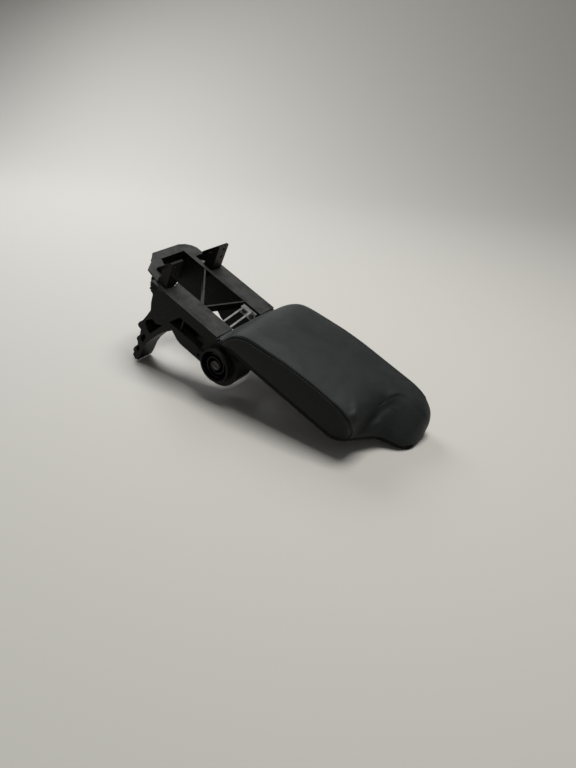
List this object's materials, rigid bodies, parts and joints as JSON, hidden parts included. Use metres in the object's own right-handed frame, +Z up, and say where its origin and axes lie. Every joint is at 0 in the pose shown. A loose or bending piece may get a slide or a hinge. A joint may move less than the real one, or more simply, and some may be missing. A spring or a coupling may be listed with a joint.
{
  "type": "car centre armrest",
  "caption": "Padded car centre armrest hinged on a moulded carrier with two legs, steel screw lugs and friction drums; lifts up between the seats and folds forward for use",
  "frame": {"origin": "centre of the pattern of four screw holes in the two steel lugs of the carrier, on the upper face of the lug plates", "axes": "+X forward in the car, the way the legs reach; +Y to the left; +Z up, along the screws and along the raised pad"},
  "size_m": [0.207, 0.154, 0.4773],
  "materials": {
    "carrier_plastic": "black moulded plastic with a fine matt grain, scuffed along its edges",
    "tray_plastic": "black moulded plastic, plain matt",
    "drum_plastic": "dark grey moulded plastic, slightly worn on the rim",
    "buffer_rubber": "black rubber",
    "foam": "moulded cushion foam, not seen from outside",
    "cover_leather": "black grained artificial leather, soft sheen, lightly worn",
    "panel_leather": "black smooth artificial leather with a soft sheen",
    "piping_leather": "black piping along the seam",
    "zinc_steel": "zinc-plated steel",
    "dark_steel": "dark grey coated sheet steel, rubbed at the edges",
    "shaft_steel": "turned steel, lightly oiled",
    "spring_steel": "blued spring strip with bright edges",
    "screw_steel": "steel screws, dull",
    "bush_brass": "plain bearing bushes"
  },
  "bodies": {
    "carrier": {"carrier_frame": "carrier_plastic", "tie_frame": "zinc_steel", "tie_screws": "screw_steel", "right_screw_lug": "dark_steel", "left_screw_lug": "dark_steel", "right_lug_rivets": "zinc_steel", "left_lug_rivets": "zinc_steel", "right_bush": "bush_brass", "left_bush": "bush_brass", "right_brake_drum": "drum_plastic", "left_brake_drum": "drum_plastic", "right_drum_screws": "screw_steel", "left_drum_screws": "screw_steel", "stop_buffers": "buffer_rubber"},
    "pad": {"hinge_shaft": "shaft_steel", "right_brake_spring": "spring_steel", "left_brake_spring": "spring_steel", "right_thrust_washer": "zinc_steel", "left_thrust_washer": "zinc_steel", "right_hinge_arm": "dark_steel", "left_hinge_arm": "dark_steel", "arm_pins": "zinc_steel", "arm_screws": "zinc_steel", "base_tray": "tray_plastic", "tray_screws": "screw_steel", "stiffener_plate": "zinc_steel", "foam_core": "foam", "top_cover": "cover_leather", "right_side_panel": "panel_leather", "left_side_panel": "panel_leather", "right_piping": "piping_leather", "left_piping": "piping_leather"}
  },
  "joints": [
    {"name": "armrest_hinge", "type": "hinge", "parent": "carrier", "child": "pad", "pos_m": [0.068, 0, 0.127], "axis": [0, 1, 0], "range_deg": [0, 90]}
  ]
}
